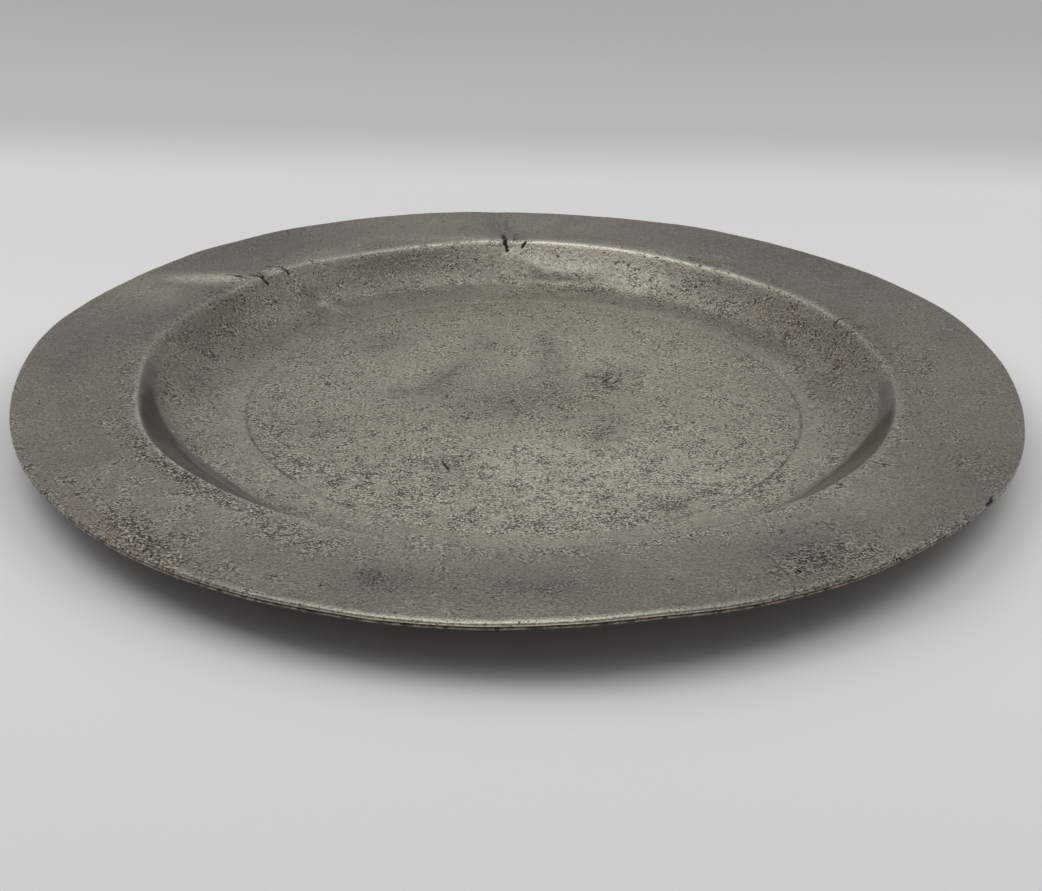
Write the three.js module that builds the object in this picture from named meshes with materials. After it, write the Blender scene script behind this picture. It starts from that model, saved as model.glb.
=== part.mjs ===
// Antique pewter paten plate: a cast broad-rim plate body, a half-round wire under the edge
// of the rim, and the solder that holds the wire. Millimetres, +Z up. The origin is the centre
// of the flat underside that the plate rests on.
import * as THREE from 'three';

// Driving dimensions
const OUTER_RADIUS = 120;
const MOUTH_RADIUS = 90.6;
const FLOOR_RADIUS = 67.5;
const METAL = 1.7;
const FLOOR_METAL = 1.9;
const RIM_METAL = 1.4;
const EDGE_METAL = 0.85;
const RIM_EDGE_TOP = 10.4;
const MOUTH_TOP = 11.0;
const RIM_DIP = 0.35;
const OVAL = 0.6;
const OVAL_ANGLE = 23;

// Edge assembly
const SEAM_GAP = 0.3;
const WIRE_WIDTH = 1.1;
const WIRE_HEIGHT = 0.75;
const WIRE_ROUND = 0.33;
const EDGE_INSET = 0.12;
const EDGE_ROUND_WIDTH = 0.8;
const EDGE_ROUND_HEIGHT = 0.55;
const REBATE_WIDTH = 2.7;
const REBATE_SLOPE = 1.2;
const SOLDER_WIDTH = 1.1;
const SOLDER_HEIGHT = 0.45;
const SOLDER_TOE = 0.2;
const SOLDER_HOLLOW = 0.26;

// Facets
const AROUND = 120;
const WALL_STEP = 1.5;

// The well between the flat floor and the mouth: the slope at each radius, changing evenly from
// one radius to the next. A nearly flat ring, then a hollow curve up to the mouth.
const WELL_SLOPES = [
  { radius: FLOOR_RADIUS, slope: 0.07 },
  { radius: 73, slope: 0.07 },
  { radius: 78, slope: 0.11 },
  { radius: 81, slope: 0.46 },
  { radius: 84, slope: 0.69 },
  { radius: 87, slope: 0.87 },
  { radius: MOUTH_RADIUS - 0.6, slope: 1.1 },
];

// Old bends: each lifts the metal by a bell curve round its angle. "lift" is in millimetres,
// "angle" and "spread" are in degrees. Angle 0 is +X and angle 90 is +Y.
const RIM_BENDS = [
  { angle: 20, spread: 9, lift: 0.5 },
  { angle: 49, spread: 9, lift: -0.3 },
  { angle: 82, spread: 8, lift: -0.4 },
  { angle: 130, spread: 17, lift: 0.6 },
  { angle: 172, spread: 7, lift: 0.9 },
  { angle: 201, spread: 11, lift: -1.3 },
  { angle: 229, spread: 10, lift: -0.8 },
  { angle: 283, spread: 11, lift: 1.4 },
  { angle: 315, spread: 9, lift: 1.0 },
  { angle: 345, spread: 11, lift: -1.7 },
];
const MOUTH_BENDS = [
  { angle: 5, spread: 13, lift: -0.9 },
  { angle: 50, spread: 11, lift: -0.6 },
  { angle: 91, spread: 10, lift: 0.5 },
  { angle: 137, spread: 12, lift: 0.6 },
  { angle: 176, spread: 10, lift: 1.3 },
  { angle: 211, spread: 13, lift: 0.6 },
  { angle: 264, spread: 16, lift: 0.5 },
  { angle: 302, spread: 14, lift: 1.1 },
];

// Where the mouth has been pushed outwards, and the hollows knocked along the foot of the wall
const MOUTH_PUSH = { angle: 211, spread: 13, far: 2.4 };
const HOLLOWS = [
  { angle: 187, spread: 7, radius: 85.5, halfWidth: 2, lift: -1 },
  { angle: 201, spread: 16, radius: 82, halfWidth: 3.5, lift: -1.2 },
  { angle: 224, spread: 12, radius: 78, halfWidth: 3.5, lift: -0.9 },
];

const bell = (apart, spread) => Math.exp(-0.5 * (apart / spread) ** 2);
const turnApart = (angle, middle) => ((angle - middle + 540) % 360) - 180;

function bendLift(bends, angle) {
  let lift = 0;
  for (const bend of bends) {
    lift += bend.lift * bell(turnApart(angle, bend.angle), bend.spread);
  }
  return lift;
}

function hollowLift(radius, angle) {
  let lift = 0;
  for (const hollow of HOLLOWS) {
    const across = bell(radius - hollow.radius, hollow.halfWidth);
    lift += hollow.lift * across * bell(turnApart(angle, hollow.angle), hollow.spread);
  }
  return lift;
}

// The bends fade to nothing at the flat floor, peak at the mouth of the well or at the rim's
// edge, and blend into each other across the rim.
function bendAt(radius, angle) {
  const upTheBooge = THREE.MathUtils.smoothstep(radius, FLOOR_RADIUS + 2, MOUTH_RADIUS);
  const acrossTheRim = THREE.MathUtils.smoothstep(radius, MOUTH_RADIUS, OUTER_RADIUS);
  const mouthLift = bendLift(MOUTH_BENDS, angle) * (1 - acrossTheRim);
  const rimLift = bendLift(RIM_BENDS, angle) * acrossTheRim;
  const offTheFloor = THREE.MathUtils.smoothstep(radius, FLOOR_RADIUS, FLOOR_RADIUS + 8);
  return upTheBooge * (mouthLift + rimLift) + offTheFloor * hollowLift(radius, angle);
}

function pushAt(radius, angle) {
  const inside = THREE.MathUtils.smoothstep(radius, 76, 88);
  const outside = 1 - THREE.MathUtils.smoothstep(radius, 92, 118);
  const around = bell(turnApart(angle, MOUTH_PUSH.angle), MOUTH_PUSH.spread);
  return MOUTH_PUSH.far * around * inside * outside;
}

// The rim has been knocked slightly oval: the radius grows and shrinks towards the edge
function ovalAt(radius, angle) {
  const twice = THREE.MathUtils.degToRad(2 * (angle - OVAL_ANGLE));
  return OVAL * Math.cos(twice) * THREE.MathUtils.smoothstep(radius, MOUTH_RADIUS, OUTER_RADIUS);
}

// A closed section in (radius, height) turned round the Z axis, then bent
function turned(section) {
  const geometry = new THREE.LatheGeometry(section, AROUND);
  geometry.rotateX(Math.PI / 2);
  const position = geometry.attributes.position;
  for (let i = 0; i < position.count; i++) {
    const x = position.getX(i);
    const y = position.getY(i);
    const radius = Math.hypot(x, y);
    const angle = THREE.MathUtils.radToDeg(Math.atan2(y, x)) + 360;
    const moved = radius + ovalAt(radius, angle) + pushAt(radius, angle);
    const stretch = radius > 0 ? moved / radius : 1;
    position.setXYZ(i, x * stretch, y * stretch, position.getZ(i) + bendAt(moved, angle));
  }
  geometry.computeVertexNormals();
  return geometry;
}

const point = (radius, height) => new THREE.Vector2(radius, height);

// The well's upper surface from the floor to the mouth, and the direction it runs in
function wellCurve() {
  const rows = [];
  let height = FLOOR_METAL;
  for (let i = 1; i < WELL_SLOPES.length; i++) {
    const from = WELL_SLOPES[i - 1];
    const to = WELL_SLOPES[i];
    const run = to.radius - from.radius;
    const steep = from.slope > WELL_SLOPES[1].slope;
    const steps = steep ? Math.round(run / WALL_STEP) : 1;
    for (let step = 0; step < steps; step++) {
      const out = (run * step) / steps;
      const slope = THREE.MathUtils.lerp(from.slope, to.slope, step / steps);
      const rise = out * (from.slope + slope) * 0.5;
      const along = new THREE.Vector2(1, slope).normalize();
      rows.push({ spot: point(from.radius + out, height + rise), along });
    }
    height += run * (from.slope + to.slope) * 0.5;
  }
  const last = WELL_SLOPES.at(-1);
  const along = new THREE.Vector2(1, last.slope).normalize();
  rows.push({ spot: point(last.radius, height), along });
  return rows;
}

function bodySection() {
  const well = wellCurve();
  const top = [point(0, FLOOR_METAL)];
  top.push(...well.map((row) => row.spot));
  top.push(point(MOUTH_RADIUS - 0.1, MOUTH_TOP - 0.08));
  top.push(point(MOUTH_RADIUS + 0.8, MOUTH_TOP));
  for (const share of [0.3, 0.65]) {
    const radius = THREE.MathUtils.lerp(MOUTH_RADIUS, OUTER_RADIUS, share);
    top.push(point(radius, THREE.MathUtils.lerp(MOUTH_TOP, RIM_EDGE_TOP, share)));
  }
  top.push(point(OUTER_RADIUS - EDGE_ROUND_WIDTH, RIM_EDGE_TOP));
  const edge = [
    point(OUTER_RADIUS - 0.25 * EDGE_ROUND_WIDTH, RIM_EDGE_TOP - 0.45 * EDGE_ROUND_HEIGHT),
    point(OUTER_RADIUS, RIM_EDGE_TOP - EDGE_ROUND_HEIGHT),
    point(OUTER_RADIUS - EDGE_INSET, RIM_EDGE_TOP - EDGE_METAL),
  ];
  const rebate = OUTER_RADIUS - REBATE_WIDTH;
  const underside = [
    point(rebate, RIM_EDGE_TOP - EDGE_METAL),
    point(rebate - REBATE_SLOPE, RIM_EDGE_TOP - RIM_METAL),
    point(MOUTH_RADIUS + 12, MOUTH_TOP - RIM_METAL - RIM_DIP),
    point(MOUTH_RADIUS + 3, MOUTH_TOP - RIM_METAL - 0.3 * RIM_DIP),
  ];
  for (const { spot, along } of well.slice(1).reverse()) {
    underside.push(point(spot.x + METAL * along.y, spot.y - METAL * along.x));
  }
  underside.push(point(FLOOR_RADIUS - 0.5, 0));
  underside.push(point(0, 0));
  return [...top, ...edge, ...underside].reverse();
}

// Half-round wire: flat on top against the rim, round below
function wireSection() {
  const flat = RIM_EDGE_TOP - EDGE_METAL - SEAM_GAP;
  const outside = OUTER_RADIUS - EDGE_INSET;
  const inside = outside - WIRE_WIDTH;
  return [
    point(inside, flat),
    point(inside + 0.2 * WIRE_ROUND, flat - 0.5 * WIRE_HEIGHT),
    point(inside + WIRE_ROUND, flat - WIRE_HEIGHT),
    point(outside - WIRE_ROUND, flat - WIRE_HEIGHT),
    point(outside - 0.2 * WIRE_ROUND, flat - 0.5 * WIRE_HEIGHT),
    point(outside, flat),
    point(inside, flat),
  ];
}

// Solder run in behind the wire, hollow on its lower side
function solderSection() {
  const flat = RIM_EDGE_TOP - EDGE_METAL - SEAM_GAP;
  const outside = OUTER_RADIUS - EDGE_INSET - WIRE_WIDTH - SEAM_GAP;
  const inside = outside - SOLDER_WIDTH;
  return [
    point(inside + SOLDER_TOE, flat),
    point(inside, flat - SOLDER_TOE),
    point(inside + 0.55 * SOLDER_WIDTH, flat - SOLDER_HOLLOW),
    point(outside, flat - SOLDER_HEIGHT),
    point(outside, flat),
    point(inside + SOLDER_TOE, flat),
  ];
}

const pewter = new THREE.MeshStandardMaterial({ color: 0x7c7a73, roughness: 0.45, metalness: 0.95 });
const wireMetal = new THREE.MeshStandardMaterial({ color: 0x6f6b62, roughness: 0.5, metalness: 0.95 });
const solder = new THREE.MeshStandardMaterial({ color: 0x8a8a86, roughness: 0.55, metalness: 0.9 });

function piece(name, section, material) {
  const mesh = new THREE.Mesh(turned(section), material);
  mesh.name = name;
  return mesh;
}

const plate = new THREE.Group();
plate.name = 'paten_plate';
plate.add(piece('plate_body', bodySection(), pewter));
plate.add(piece('rim_wire', wireSection(), wireMetal));
plate.add(piece('solder_fillet', solderSection(), solder));

export default plate;
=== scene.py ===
"""An old pewter paten plate: high-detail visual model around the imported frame.

The plate body, the wire under its rim and the solder behind the wire are each one closed mesh,
turned from a section and then bent, dented, cracked and pitted. Mesh code works in millimetres
on the plan of the plate (+X right, +Y away from the viewer); objects are placed in metres.
"""
import math

import bpy
import numpy as np
from mathutils import Matrix, Vector


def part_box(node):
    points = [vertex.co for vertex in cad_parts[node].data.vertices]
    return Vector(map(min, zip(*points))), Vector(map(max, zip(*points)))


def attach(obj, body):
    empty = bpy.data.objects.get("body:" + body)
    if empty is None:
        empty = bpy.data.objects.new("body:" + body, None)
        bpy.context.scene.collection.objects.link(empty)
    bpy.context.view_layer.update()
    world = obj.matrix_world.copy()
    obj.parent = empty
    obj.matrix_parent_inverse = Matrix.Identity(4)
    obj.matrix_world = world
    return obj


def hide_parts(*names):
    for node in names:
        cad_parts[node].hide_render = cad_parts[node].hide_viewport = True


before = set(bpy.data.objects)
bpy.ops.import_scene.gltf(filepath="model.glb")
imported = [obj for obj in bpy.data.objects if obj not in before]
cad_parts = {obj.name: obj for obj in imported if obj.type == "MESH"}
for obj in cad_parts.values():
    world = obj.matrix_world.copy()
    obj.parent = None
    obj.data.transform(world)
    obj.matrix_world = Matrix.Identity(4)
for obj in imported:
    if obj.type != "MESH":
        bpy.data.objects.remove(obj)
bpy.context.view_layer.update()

MM = 0.001
SEED = 11

# ---------------------------------------------------------------- sizes: the outer radius from the frame, the rest given
BODY_LOW, BODY_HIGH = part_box("plate_body")
OUTER_R = math.sqrt((BODY_HIGH.x - BODY_LOW.x) * (BODY_HIGH.y - BODY_LOW.y)) / 2 / MM
MOUTH_R = 0.755 * OUTER_R
FLOOR_R = 0.5625 * OUTER_R
METAL = 1.7
FLOOR_TOP = 1.9
RIM_METAL = 1.4
EDGE_METAL = 0.85
EDGE_TOP = 10.4
MOUTH_TOP = 11.0
OVAL = 0.6
OVAL_ANGLE = 23
SEAM = 0.3
WIRE_WIDTH = 1.1
WIRE_HEIGHT = 0.75
EDGE_INSET = 0.12
EDGE_ROUND = 0.8
REBATE_WIDTH = 2.7

# The well between the flat floor and the mouth: (radius, slope), with the slope changing evenly
# from one row to the next
WELL_SLOPES = [
    (67.5, 0.07), (73.0, 0.07), (78.0, 0.11), (81.0, 0.46), (84.0, 0.69), (87.0, 0.87), (90.0, 1.10),
]

# Radii of the rows across the flat floor: (first, end, step, columns joined into one face)
FLOOR_ROWS = [(4.0, 8.5, 4.0, 16), (11.0, 17.5, 3.0, 8), (19.5, 34.0, 2.3, 4), (35.0, 62.0, 2.0, 2)]

# The turned ring round the floor: (radius, height above the floor)
RING_PROFILE = [
    (63.4, 0.0), (64.8, 0.0), (65.6, 0.0), (66.2, 0.02), (66.7, 0.03), (67.05, -0.04),
    (67.4, -0.08), (67.8, -0.02), (68.2, 0.03), (68.8, 0.08), (69.4, 0.13),
]

# Steps between the rows of the well, on its nearly flat ring and up its wall
WELL_START = 70.0
RING_STEP = 1.6
WALL_STEP = 0.75

# The crest of the mouth: (distance outside the mouth, drop below its top)
CREST_PROFILE = [(-0.32, 0.2), (-0.05, 0.08), (0.3, 0.01), (0.8, 0.0), (1.4, 0.03)]

# The rounded edge of the rim: (distance inside the outer radius, drop below the edge's top)
EDGE_PROFILE = [(0.5, 0.05), (0.26, 0.15), (0.1, 0.3), (0.02, 0.46), (0.0, 0.62), (0.05, 0.77)]

# The rebate under the edge: (distance inside the outer radius, metal above it)
REBATE_PROFILE = [
    (EDGE_INSET, EDGE_METAL), (1.4, EDGE_METAL), (REBATE_WIDTH, EDGE_METAL), (3.9, RIM_METAL),
]

# Rows on the top and the underside of the rim
RIM_ROWS = 23
UNDER_RIM_ROWS = 12

# Radii of the rows across the flat underside, and columns joined into one face
BASE_ROWS = [((FLOOR_R - 0.5, 63.0, 58.0, 52.0, 46.0, 40.0, 34.0, 28.0), 4), ((22.0, 16.0, 10.0, 5.0), 16)]

# The solder behind the wire: (distance inside its outer face, drop below its top)
SOLDER_PROFILE = [
    (0.0, 0.0), (0.0, 0.22), (0.02, 0.44), (0.25, 0.36), (0.6, 0.26), (0.95, 0.2), (1.1, 0.12), (0.92, 0.0),
]
WIRE_ROWS = 9

# ---------------------------------------------------------------- old bends
# (angle in degrees, spread in degrees, lift in millimetres), the same as in the frame
RIM_BENDS = [
    (20, 9, 0.5), (49, 9, -0.3), (82, 8, -0.4), (130, 17, 0.6), (172, 7, 0.9),
    (201, 11, -1.3), (229, 10, -0.8), (283, 11, 1.4), (315, 9, 1.0), (345, 11, -1.7),
]
MOUTH_BENDS = [
    (5, 13, -0.9), (50, 11, -0.6), (91, 10, 0.5), (137, 12, 0.6),
    (176, 10, 1.3), (211, 13, 0.6), (264, 16, 0.5), (302, 14, 1.1),
]

# The mouth has been pushed outwards at one place: angle, spread, how far
MOUTH_PUSH = (211, 13, 2.4)

# How far, and towards which angle in radians, the turned ring is off centre
RING_SHIFT = 1.3
RING_SHIFT_ANGLE = 0.15

# Hollows along the foot of the wall: (angle, spread, radius, half width, height)
HOLLOWS = [(187, 7, 85.5, 2.0, -1.0), (201, 16, 82.0, 3.5, -1.2), (224, 12, 78.0, 3.5, -0.9)]

# Dents (negative) and bumps (positive) that go through the metal:
# (x, y, half length, half width, direction in degrees, height)
DENTS = [
    (-54.4, 60.3, 2.6, 1.8, 50, -0.75),
    (-2.0, 96.5, 3.4, 2.4, 80, -0.55),
    (-6.5, 106.0, 9.0, 3.0, 100, -0.8),
    (11.0, 76.5, 8.0, 3.2, 10, -0.55),
    (5.6, 80.3, 2.8, 1.2, 0, -0.4),
    (-62.0, 70.5, 6.0, 3.5, 40, 0.35),
    (-84.0, 52.0, 9.0, 4.0, 150, -0.4),
    (-12.0, 84.5, 7.0, 3.0, 5, 0.3),
    (33.0, 79.0, 8.0, 3.5, -20, 0.35),
    (47.0, 70.0, 7.0, 3.0, -35, -0.35),
    (-34.0, 78.0, 8.0, 4.0, 25, -0.35),
    (-80.0, 12.0, 8.0, 4.0, 95, -0.35),
    (57.5, -82.0, 9.0, 4.0, 35, -0.4),
    (54.0, -70.0, 4.0, 1.8, 30, 0.35),
    (88.0, 60.0, 9.0, 5.0, 125, -0.35),
    (-40.0, 102.0, 12.0, 5.0, 20, -0.4),
    (30.0, 105.0, 12.0, 5.0, -15, -0.35),
    (-24.0, -101.0, 8.0, 5.0, 10, -0.25),
    (10.0, -108.0, 9.0, 4.0, 0, 0.2),
    (22.5, -13.0, 9.0, 3.0, 60, -0.2),
    (-20.0, 14.0, 8.0, 3.0, 60, -0.2),
    (101.0, -35.0, 8.0, 5.0, 80, -0.3),
]

# Creases that go through the metal: (points, half width, height)
RIDGES = [
    ([(-3.6, 89.0), (-3.0, 86.5), (-2.5, 82.0), (-1.8, 78.0)], 2.6, 0.38),
    ([(-2.6, 88.5), (1.5, 85.6), (7.0, 82.4), (16.0, 81.8), (27.0, 80.5)], 2.2, 0.5),
    ([(9.5, 73.2), (16.0, 75.6), (24.0, 78.5)], 1.8, 0.4),
    ([(-63.5, 65.5), (-60.0, 63.0), (-55.5, 63.6), (-50.0, 60.0), (-44.0, 57.0)], 2.6, 0.5),
    ([(-70.5, 58.4), (-77.0, 59.2), (-87.0, 59.6), (-97.0, 59.4), (-104.0, 57.0)], 3.6, 0.75),
    ([(-65.0, 65.2), (-71.5, 61.2)], 1.5, 0.55),
    ([(-58.0, 92.0), (-64.0, 80.0), (-67.5, 70.0)], 3.6, 0.45),
    ([(73.0, 83.0), (79.0, 71.0)], 4.0, 0.4),
    ([(-6.6, 99.0), (-6.3, 91.5)], 0.9, 0.4),
]

# Cracks and slits in the upper surface: (points, half width, depth)
CRACKS = [
    ([(-4.1, 88.4), (-4.9, 90.4), (-4.4, 92.4), (-5.3, 94.6), (-4.9, 96.6), (-5.5, 99.0)], 0.85, 1.30),
    ([(-2.6, 91.6), (-1.9, 93.4), (-2.3, 95.6)], 0.42, 0.60),
    ([(0.0, 89.0), (0.9, 89.8), (1.4, 91.2)], 0.40, 0.55),
    ([(-62.9, 63.3), (-66.2, 65.4), (-70.0, 66.6)], 0.55, 1.10),
    ([(-67.9, 57.1), (-70.4, 58.3), (-73.6, 59.7)], 0.60, 1.15),
    ([(-68.7, 57.9), (-71.3, 61.6)], 0.42, 0.80),
    ([(-72.0, 56.7), (-75.2, 57.5), (-79.0, 58.7)], 0.34, 0.60),
    ([(-58.4, 71.9), (-57.0, 70.0)], 0.35, 0.50),
    ([(81.2, 36.5), (83.8, 38.4), (86.9, 39.0)], 0.36, 0.70),
    ([(84.6, 31.4), (88.4, 33.6), (91.2, 34.0)], 0.30, 0.45),
    ([(90.2, 15.9), (94.0, 16.8)], 0.32, 0.45),
    ([(55.2, -70.9), (52.0, -74.6)], 0.32, 0.45),
    ([(77.4, -46.6), (80.6, -48.4), (84.0, -48.9)], 0.34, 0.60),
    ([(68.2, -58.9), (70.6, -60.2)], 0.40, 0.60),
    ([(20.6, 14.0), (23.0, 17.6)], 0.45, 0.45),
    ([(23.4, 13.6), (25.2, 16.4)], 0.40, 0.40),
    ([(-15.6, -36.8), (-17.6, -31.6)], 0.42, 0.45),
    ([(99.4, -68.0), (102.6, -60.4)], 0.50, 0.55),
]

# Crowds of pits: (x, y, spread along, spread across, direction, how many, largest radius)
PIT_CROWDS = [
    (22.0, 15.5, 4.0, 3.0, 40, 20, 0.85), (-16.6, -34.2, 4.5, 2.5, 110, 16, 0.75),
    (40.0, 20.0, 18.0, 14.0, 90, 46, 0.60), (10.0, -59.0, 26.0, 5.0, 0, 50, 0.60),
    (-45.0, -42.0, 10.0, 6.0, 130, 30, 0.60), (-54.0, -58.0, 5.0, 3.0, 135, 18, 0.75),
    (14.0, 72.5, 10.0, 2.2, -5, 30, 0.80), (-46.0, 56.0, 4.0, 2.0, 140, 12, 0.70),
    (40.0, 74.0, 12.0, 4.0, -28, 34, 0.65), (64.0, 46.0, 12.0, 5.0, -55, 34, 0.60),
    (52.0, -38.0, 10.0, 8.0, 40, 24, 0.60), (0.0, 0.0, 42.0, 42.0, 0, 70, 0.50),
    (62.0, -94.0, 9.0, 3.5, 32, 46, 0.75), (-72.0, -90.0, 14.0, 2.6, 130, 46, 0.75),
    (-100.0, -57.0, 10.0, 2.6, 118, 22, 0.75), (100.0, 8.0, 18.0, 5.0, 90, 30, 0.55),
    (104.0, -52.0, 7.0, 3.0, 118, 20, 0.85), (-35.0, 88.0, 16.0, 1.5, 22, 16, 0.50),
    (40.0, 84.0, 16.0, 1.4, -26, 22, 0.55), (-25.0, -103.0, 16.0, 6.0, 5, 20, 0.55),
]


def smoothstep(x, low, high):
    t = np.clip((x - low) / (high - low), 0.0, 1.0)
    return t * t * (3.0 - 2.0 * t)


def bell(value, middle, spread):
    return np.exp(-0.5 * ((value - middle) / spread) ** 2)


def plateau(value, start, full, ease, end):
    """1 from "full" to "ease", fading to 0 at "start" and at "end"."""
    return smoothstep(value, start, full) * (1.0 - smoothstep(value, ease, end))


def angular_window(degrees, middle, spread):
    return bell((degrees - middle + 540.0) % 360.0 - 180.0, 0.0, spread)


def windows(degrees, *places):
    """Angular windows given as (angle, spread), added up to 1 at most."""
    return np.minimum(1.0, sum(angular_window(degrees, *place) for place in places))


def bend_lift(bends, degrees):
    return sum(height * angular_window(degrees, angle, spread) for angle, spread, height in bends)


def blob(x, y, spot):
    """A bell of height 1 at spot = (x, y, half length, half width, direction)."""
    turn = math.radians(spot[4])
    u = (x - spot[0]) * math.cos(turn) + (y - spot[1]) * math.sin(turn)
    v = (y - spot[1]) * math.cos(turn) - (x - spot[0]) * math.sin(turn)
    return np.exp(-0.5 * ((u / spot[2]) ** 2 + (v / spot[3]) ** 2))


def line_distance(x, y, points):
    """Distance to a line of points, and the share of its length where the nearest place is."""
    points = np.array(points, float)
    lengths = np.hypot(*np.diff(points, axis=0).T)
    nearest = np.full(x.shape, 1e9)
    share = np.zeros(x.shape)
    done = 0.0
    for (ax, ay), (bx, by), length in zip(points[:-1], points[1:], lengths):
        t = np.clip(((x - ax) * (bx - ax) + (y - ay) * (by - ay)) / length ** 2, 0.0, 1.0)
        away = np.hypot(x - ax - t * (bx - ax), y - ay - t * (by - ay))
        share = np.where(away < nearest, (done + t * length) / lengths.sum(), share)
        nearest = np.minimum(nearest, away)
        done += length
    return nearest, share


def make_waves(random, count, short, long):
    """Plane waves of random direction that add up to a gentle unevenness."""
    length = random.uniform(short, long, count)
    turn = random.uniform(0.0, 2.0 * math.pi, count)
    start = random.uniform(0.0, 2.0 * math.pi, count)
    return [(2 * math.pi / l, t, s) for l, t, s in zip(length, turn, start)]


def wave_height(waves, x, y):
    total = np.zeros_like(x)
    for step, turn, start in waves:
        total += np.cos(step * (x * math.cos(turn) + y * math.sin(turn)) + start)
    return total / math.sqrt(0.5 * len(waves))


RANDOM = np.random.default_rng(SEED)
LONG_WAVES = make_waves(RANDOM, 26, 16.0, 34.0)
SHORT_WAVES = make_waves(RANDOM, 30, 5.0, 10.0)
JAGGED_WAVES = make_waves(RANDOM, 16, 0.9, 2.2)
LONG_WAVE_HEIGHT = 0.06
SHORT_WAVE_HEIGHT = 0.012


def crowd_of_pits(random):
    """Rows of (x, y, half length, half width, direction, depth)."""
    pits = []
    for x, y, along, across, direction, count, largest in PIT_CROWDS:
        turn = math.radians(direction)
        for _ in range(count):
            u, v = random.normal(0.0, along), random.normal(0.0, across)
            place_x = x + u * math.cos(turn) - v * math.sin(turn)
            place_y = y + u * math.sin(turn) + v * math.cos(turn)
            size = largest * random.uniform(0.3, 0.85)
            slim = random.uniform(0.5, 1.0)
            depth = size * random.uniform(0.25, 0.5)
            if math.hypot(place_x, place_y) < OUTER_R - 1.2:
                pits.append((place_x, place_y, size, size * slim, random.uniform(0, 180), depth))
    return pits


PITS = crowd_of_pits(RANDOM)


def bends_at(x, y, upper=0.0):
    """Height that every bend, dent and crease adds. Under the flat floor nothing moves."""
    radius = np.hypot(x, y)
    degrees = np.degrees(np.arctan2(y, x)) % 360.0
    up_booge = smoothstep(radius, FLOOR_R + 2.0, MOUTH_R)
    across_rim = smoothstep(radius, MOUTH_R, OUTER_R)
    mouth = bend_lift(MOUTH_BENDS, degrees) * (1.0 - across_rim)
    height = np.zeros_like(x)
    for *spot, lift in DENTS:
        height += lift * blob(x, y, spot)
    for points, half_width, lift in RIDGES:
        away, share = line_distance(x, y, points)
        taper = plateau(share, -0.02, 0.25, 0.6, 1.02)
        height += lift * taper * bell(away, 0.0, 0.6 * half_width)
    for angle, spread, middle, half_width, lift in HOLLOWS:
        height += lift * bell(radius, middle, half_width) * angular_window(degrees, angle, spread)
    height += LONG_WAVE_HEIGHT * wave_height(LONG_WAVES, x, y)
    height *= np.maximum(upper, smoothstep(radius, FLOOR_R, FLOOR_R + 8.0))
    return height + up_booge * (mouth + bend_lift(RIM_BENDS, degrees) * across_rim)


def oval_at(radius, angle):
    turn = 2.0 * (angle - math.radians(OVAL_ANGLE))
    return OVAL * np.cos(turn) * smoothstep(radius, MOUTH_R, OUTER_R)


def mouth_push(radius, angle):
    middle, spread, far = MOUTH_PUSH
    near = plateau(radius, 76.0, 88.0, 92.0, 118.0)
    return far * angular_window(np.degrees(angle) % 360.0, middle, spread) * near


def ring_shift(radius, angle):
    """The turned ring round the floor was cut a little off centre."""
    near = plateau(radius, 45.0, FLOOR_R, FLOOR_R + 2.0, MOUTH_R - 5.0)
    return RING_SHIFT * np.cos(angle - RING_SHIFT_ANGLE) * near


def surface_relief(x, y):
    """Cracks and pits of the upper face: height, and how much of each there is."""
    height = SHORT_WAVE_HEIGHT * wave_height(SHORT_WAVES, x, y)
    jagged = wave_height(JAGGED_WAVES, x, y)
    crack = np.zeros_like(x)
    for points, half_width, depth in CRACKS:
        away, share = line_distance(x, y, points)
        away = np.abs(away + 0.22 * half_width * jagged)
        taper = plateau(share, -0.1, 0.3, 0.55, 1.05)
        width = half_width * (0.45 + 0.55 * taper)
        hollow = np.clip(1.0 - (away / width) ** 2, 0.0, 1.0) ** 1.5
        lip = np.exp(-((away - 1.7 * half_width) / (0.9 * half_width)) ** 2)
        height += depth * (0.12 * lip * taper - hollow * (0.3 + 0.7 * taper))
        crack = np.maximum(crack, hollow * min(1.0, depth / 0.3))
    pit = np.zeros_like(x)
    for *spot, depth in PITS:
        reach = 1.6 * spot[2]
        near = (np.abs(x - spot[0]) < reach) & (np.abs(y - spot[1]) < reach)
        if near.any():
            bell = blob(x[near], y[near], (spot[0], spot[1], 0.5 * spot[2], 0.5 * spot[3], spot[4]))
            height[near] -= depth * bell
            pit[near] = np.maximum(pit[near], bell)
    return height, crack, pit


# ---------------------------------------------------------------- sections
def well_rows():
    """Upper surface between the flat floor and the mouth: a nearly flat ring, then a hollow curve."""
    knots, slopes = np.array(WELL_SLOPES).T
    foot, top = knots[2], knots[-1]
    radii = [np.arange(WELL_START, foot, RING_STEP), np.arange(foot, top, WALL_STEP), [top]]
    fine = np.linspace(knots[0], top, 901)
    slope = np.interp(fine, knots, slopes)
    rise = np.concatenate([[0.0], np.cumsum((slope[1:] + slope[:-1]) / 2 * np.diff(fine))])
    return [np.array([r, FLOOR_TOP + np.interp(r, fine, rise)]) for r in np.concatenate(radii)]


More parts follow.
